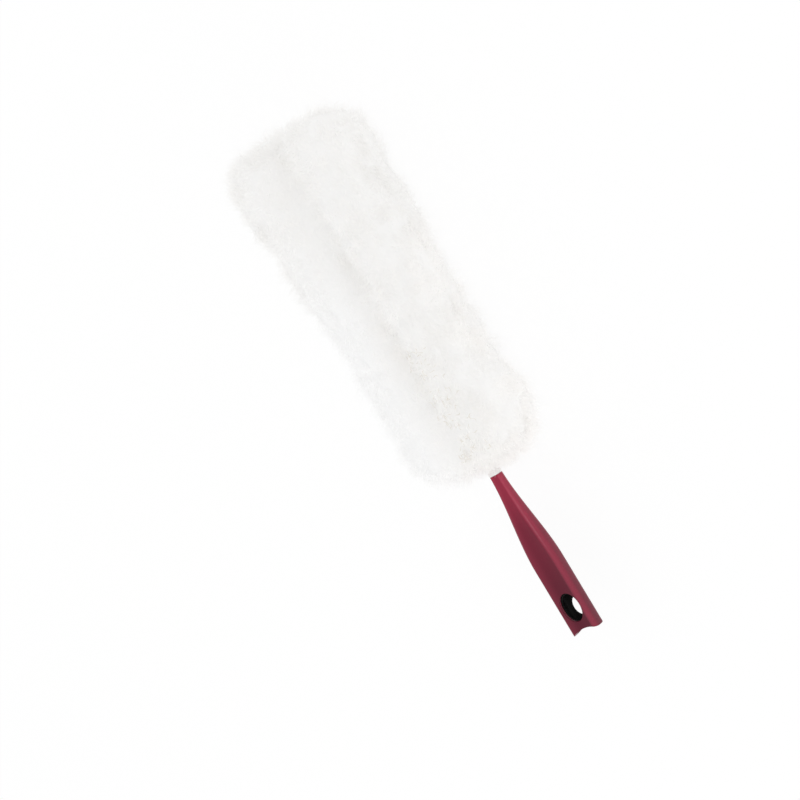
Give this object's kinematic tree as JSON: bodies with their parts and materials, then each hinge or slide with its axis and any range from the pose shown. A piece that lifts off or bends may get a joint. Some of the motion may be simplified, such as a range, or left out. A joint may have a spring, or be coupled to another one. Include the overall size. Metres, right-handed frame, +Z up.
{
  "type": "hand duster",
  "caption": "Hand duster with a slip-on fluffy white fibre sleeve on a flat fork, and a hollow burgundy handle with an oval hanging hole and a pole socket in its tail.",
  "frame": {"origin": "middle of the duster's bounding box seen from above, on the surface that it lies on", "axes": "+X along the duster from the handle's open tail to the head's tip, +Z up out of the handle's thumb dish"},
  "size_m": [0.5864, 0.1678, 0.1038],
  "materials": {
    "handle_plastic": "burgundy moulded plastic, satin gloss",
    "liner_plastic": "black moulded plastic, matt",
    "white_plastic": "white moulded plastic",
    "pocket_cloth": "white nonwoven cloth with bonded dots",
    "fluff_fibre": "loose white crimped fibres, matt"
  },
  "bodies": {
    "handle": {"handle_shell": "handle_plastic", "pole_socket_liner": "liner_plastic", "neck_collar": "white_plastic", "fork": "white_plastic"},
    "sleeve": {"sleeve_upper_panel": "pocket_cloth", "sleeve_lower_panel": "pocket_cloth", "fluff_upper_left": "fluff_fibre", "fluff_upper_right": "fluff_fibre", "fluff_lower_left": "fluff_fibre", "fluff_lower_right": "fluff_fibre"}
  },
  "joints": [
    {"name": "sleeve_slide", "type": "slide", "parent": "handle", "child": "sleeve", "axis": [1, 0, 0], "range_m": [0, 0.33]}
  ]
}
